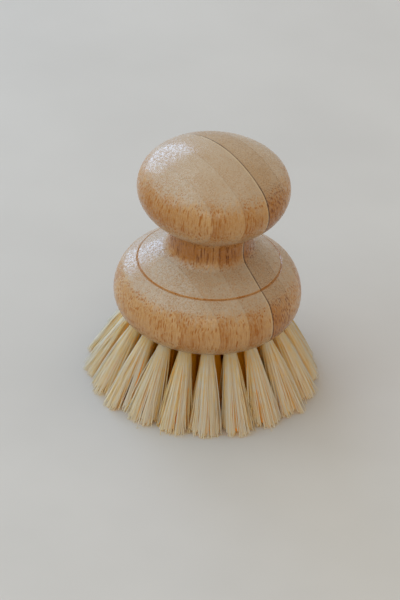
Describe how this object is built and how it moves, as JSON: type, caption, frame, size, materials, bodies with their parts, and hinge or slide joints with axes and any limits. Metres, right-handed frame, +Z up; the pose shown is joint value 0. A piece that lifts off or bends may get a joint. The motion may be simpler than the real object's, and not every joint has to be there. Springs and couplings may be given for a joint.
{
  "type": "dish brush",
  "caption": "Palm-held dish brush: a turned laminated bamboo knob, neck and domed base, with rings of splayed plant-fibre tufts stapled into its underside.",
  "frame": {"origin": "on the turning axis, in the plane of the trimmed fibre tips that the brush stands on", "axes": "+Z up along the turning axis to the top of the knob, X square to the glue planes of the bamboo"},
  "size_m": [0.0812, 0.0812, 0.0922],
  "materials": {
    "bamboo": "satin lacquer",
    "fibre": "dry plant fibre",
    "staple_wire": "bright drawn"
  },
  "bodies": {
    "root": {"bamboo_stave_1": "bamboo", "bamboo_stave_2": "bamboo", "bamboo_stave_3": "bamboo", "bamboo_stave_4": "bamboo", "bamboo_stave_5": "bamboo", "bamboo_stave_6": "bamboo", "bamboo_stave_7": "bamboo", "bamboo_stave_2_knob": "bamboo", "bamboo_stave_7_knob": "bamboo", "outer_tuft_01": "fibre", "outer_tuft_02": "fibre", "outer_tuft_03": "fibre", "outer_tuft_04": "fibre", "outer_tuft_05": "fibre", "outer_tuft_06": "fibre", "outer_tuft_07": "fibre", "outer_tuft_08": "fibre", "outer_tuft_09": "fibre", "outer_tuft_10": "fibre", "outer_tuft_11": "fibre", "outer_tuft_12": "fibre", "outer_tuft_13": "fibre", "outer_tuft_14": "fibre", "outer_tuft_15": "fibre", "outer_tuft_16": "fibre", "outer_tuft_17": "fibre", "outer_tuft_18": "fibre", "outer_tuft_19": "fibre", "outer_tuft_20": "fibre", "middle_tuft_01": "fibre", "middle_tuft_02": "fibre", "middle_tuft_03": "fibre", "middle_tuft_04": "fibre", "middle_tuft_05": "fibre", "middle_tuft_06": "fibre", "middle_tuft_07": "fibre", "middle_tuft_08": "fibre", "middle_tuft_09": "fibre", "middle_tuft_10": "fibre", "middle_tuft_11": "fibre", "middle_tuft_12": "fibre", "middle_tuft_13": "fibre", "middle_tuft_14": "fibre", "inner_tuft_01": "fibre", "inner_tuft_02": "fibre", "inner_tuft_03": "fibre", "inner_tuft_04": "fibre", "inner_tuft_05": "fibre", "inner_tuft_06": "fibre", "inner_tuft_07": "fibre", "centre_tuft_01": "fibre", "staples": "staple_wire"}
  },
  "joints": []
}
